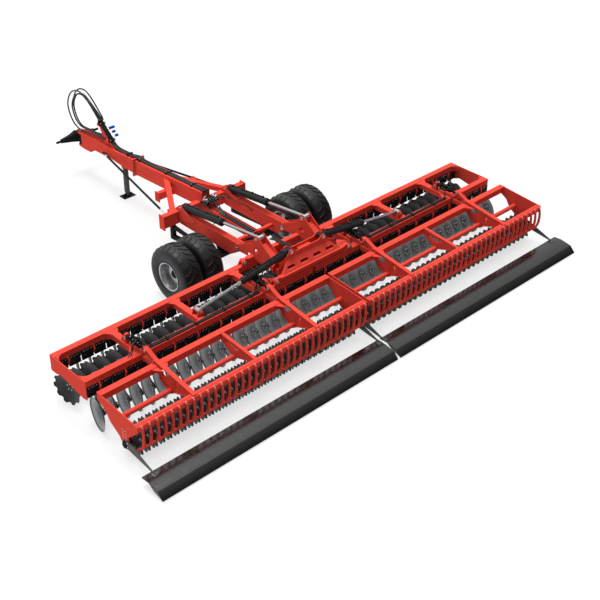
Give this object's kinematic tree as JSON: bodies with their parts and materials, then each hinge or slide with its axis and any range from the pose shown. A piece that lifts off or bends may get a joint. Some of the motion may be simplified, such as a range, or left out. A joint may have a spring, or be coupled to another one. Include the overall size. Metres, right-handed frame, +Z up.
{
  "type": "trailed folding compact disc harrow with ring packer roller",
  "caption": "Trailed disc harrow: two folding wings with two disc rows, ring packer and trailing board, on a twin-wheel chassis.",
  "frame": {"origin": "on the floor, midway between the hitch bar and the rear edge of the trailing board, on the centre line", "axes": "+X to the machine right, +Y forwards to the hitch, +Z up"},
  "size_m": [10.4, 9.9358, 2.016],
  "materials": {
    "red_paint": "gloss",
    "black_paint": "satin",
    "disc_steel": "satin",
    "roller_steel": "satin",
    "board_steel": "gloss",
    "rim_steel": "satin",
    "chrome_rod": "polished",
    "tyre_rubber": "matte",
    "hose_rubber": "satin"
  },
  "bodies": {
    "chassis": {"drawbar_neck": "red_paint", "rear_drawbar": "red_paint", "chassis_crossbeam": "red_paint", "main_beam_left": "red_paint", "main_beam_right": "red_paint", "axle_frame": "black_paint", "tie_rod_left": "black_paint", "tie_rod_right": "black_paint", "hose_mast": "red_paint", "hose_loop_left": "hose_rubber", "hose_loop_right": "hose_rubber", "hose_loop_inner_left": "hose_rubber", "hose_loop_inner_right": "hose_rubber"},
    "parking_stand": {"parking_stand": "black_paint"},
    "hitch_bar": {"hitch_bar": "black_paint"},
    "lift_frame": {"centre_frame": "red_paint", "lift_tower_left": "red_paint", "lift_tower_right": "red_paint"},
    "wheels_left": {"wheel_left": "rim_steel", "tyre_left_inner": "tyre_rubber", "tyre_left_outer": "tyre_rubber"},
    "wing_left": {"front_frame_left": "red_paint", "packer_frame_left": "red_paint", "disc_row_front_left": "disc_steel", "disc_row_rear_left": "disc_steel", "scraper_row_left": "red_paint", "trailing_board_left": "board_steel", "depth_cylinder_left_inner": "black_paint", "depth_cylinder_left_outer": "black_paint"},
    "roller_left": {"roller_left": "roller_steel"},
    "lift_barrel_left": {"lift_barrel_left": "black_paint"},
    "lift_rod_left": {"lift_rod_left": "chrome_rod"},
    "fold_barrel_left": {"fold_barrel_left": "black_paint"},
    "fold_rod_left": {"fold_rod_left": "chrome_rod"},
    "wheels_right": {"wheel_right": "rim_steel", "tyre_right_inner": "tyre_rubber", "tyre_right_outer": "tyre_rubber"},
    "wing_right": {"front_frame_right": "red_paint", "packer_frame_right": "red_paint", "disc_row_front_right": "disc_steel", "disc_row_rear_right": "disc_steel", "scraper_row_right": "red_paint", "trailing_board_right": "board_steel", "depth_cylinder_right_inner": "black_paint", "depth_cylinder_right_outer": "black_paint"},
    "roller_right": {"roller_right": "roller_steel"},
    "lift_barrel_right": {"lift_barrel_right": "black_paint"},
    "lift_rod_right": {"lift_rod_right": "chrome_rod"},
    "fold_barrel_right": {"fold_barrel_right": "black_paint"},
    "fold_rod_right": {"fold_rod_right": "chrome_rod"}
  },
  "joints": [
    {"name": "frame_lift", "type": "hinge", "parent": "chassis", "child": "lift_frame", "pos_m": [0, -1.355, 0.95], "axis": [-1, 0, 0], "range_deg": [0, 90]},
    {"name": "wing_fold_left", "type": "hinge", "parent": "lift_frame", "child": "wing_left", "pos_m": [-0.9, -2.2375, 0.97], "axis": [0, 1, 0], "range_deg": [0, 90]},
    {"name": "roller_spin_left", "type": "hinge", "parent": "wing_left", "child": "roller_left", "pos_m": [-2.515, -3.74, 0.275], "axis": [1, 0, 0], "continuous": true},
    {"name": "wheel_spin_left", "type": "hinge", "parent": "chassis", "child": "wheels_left", "pos_m": [-1.42, -0.805, 0.58], "axis": [1, 0, 0], "continuous": true},
    {"name": "lift_barrel_swing_left", "type": "hinge", "parent": "chassis", "child": "lift_barrel_left", "pos_m": [-0.57, 0.345, 1.1], "axis": [-1, 0, 0], "range_deg": [0, 10.4]},
    {"name": "lift_rod_slide_left", "type": "slide", "parent": "lift_barrel_left", "child": "lift_rod_left", "axis": [0, -0.9923, 0.1235], "range_m": [-0.9364, 0]},
    {"name": "fold_barrel_swing_left", "type": "hinge", "parent": "lift_frame", "child": "fold_barrel_left", "pos_m": [-0.4, -2.475, 1.3], "axis": [0, 1, 0], "range_deg": [0, 77.7]},
    {"name": "fold_rod_slide_left", "type": "slide", "parent": "fold_barrel_left", "child": "fold_rod_left", "axis": [-0.9893, 0, -0.146], "range_m": [-0.7656, 0]},
    {"name": "wing_fold_right", "type": "hinge", "parent": "lift_frame", "child": "wing_right", "pos_m": [0.9, -2.2375, 0.97], "axis": [0, -1, 0], "range_deg": [0, 90]},
    {"name": "roller_spin_right", "type": "hinge", "parent": "wing_right", "child": "roller_right", "pos_m": [2.515, -3.74, 0.275], "axis": [1, 0, 0], "continuous": true},
    {"name": "wheel_spin_right", "type": "hinge", "parent": "chassis", "child": "wheels_right", "pos_m": [1.42, -0.805, 0.58], "axis": [1, 0, 0], "continuous": true},
    {"name": "lift_barrel_swing_right", "type": "hinge", "parent": "chassis", "child": "lift_barrel_right", "pos_m": [0.57, 0.345, 1.1], "axis": [-1, 0, 0], "range_deg": [0, 10.4]},
    {"name": "lift_rod_slide_right", "type": "slide", "parent": "lift_barrel_right", "child": "lift_rod_right", "axis": [0, -0.9923, 0.1235], "range_m": [-0.9364, 0]},
    {"name": "fold_barrel_swing_right", "type": "hinge", "parent": "lift_frame", "child": "fold_barrel_right", "pos_m": [0.4, -2.475, 1.3], "axis": [0, -1, 0], "range_deg": [0, 77.7]},
    {"name": "fold_rod_slide_right", "type": "slide", "parent": "fold_barrel_right", "child": "fold_rod_right", "axis": [0.9893, 0, -0.146], "range_m": [-0.7656, 0]},
    {"name": "stand_fold", "type": "hinge", "parent": "chassis", "child": "parking_stand", "pos_m": [0, 3.095, 0.7], "axis": [-1, 0, 0], "range_deg": [0, 80]},
    {"name": "hitch_swivel", "type": "hinge", "parent": "chassis", "child": "hitch_bar", "pos_m": [0, 4.665, 0.8], "axis": [0, 0, 1], "range_deg": [-40, 40]}
  ],
  "couplings": [
    {"joint": "lift_barrel_swing_left", "follows": "frame_lift", "ratio": 0.11543},
    {"joint": "lift_rod_slide_left", "follows": "frame_lift", "m_per_rad": -0.59578},
    {"joint": "fold_barrel_swing_left", "follows": "wing_fold_left", "ratio": 0.86326},
    {"joint": "fold_rod_slide_left", "follows": "wing_fold_left", "m_per_rad": -0.48706},
    {"joint": "lift_barrel_swing_right", "follows": "frame_lift", "ratio": 0.11543},
    {"joint": "lift_rod_slide_right", "follows": "frame_lift", "m_per_rad": -0.59578},
    {"joint": "fold_barrel_swing_right", "follows": "wing_fold_right", "ratio": 0.86326},
    {"joint": "fold_rod_slide_right", "follows": "wing_fold_right", "m_per_rad": -0.48706}
  ]
}
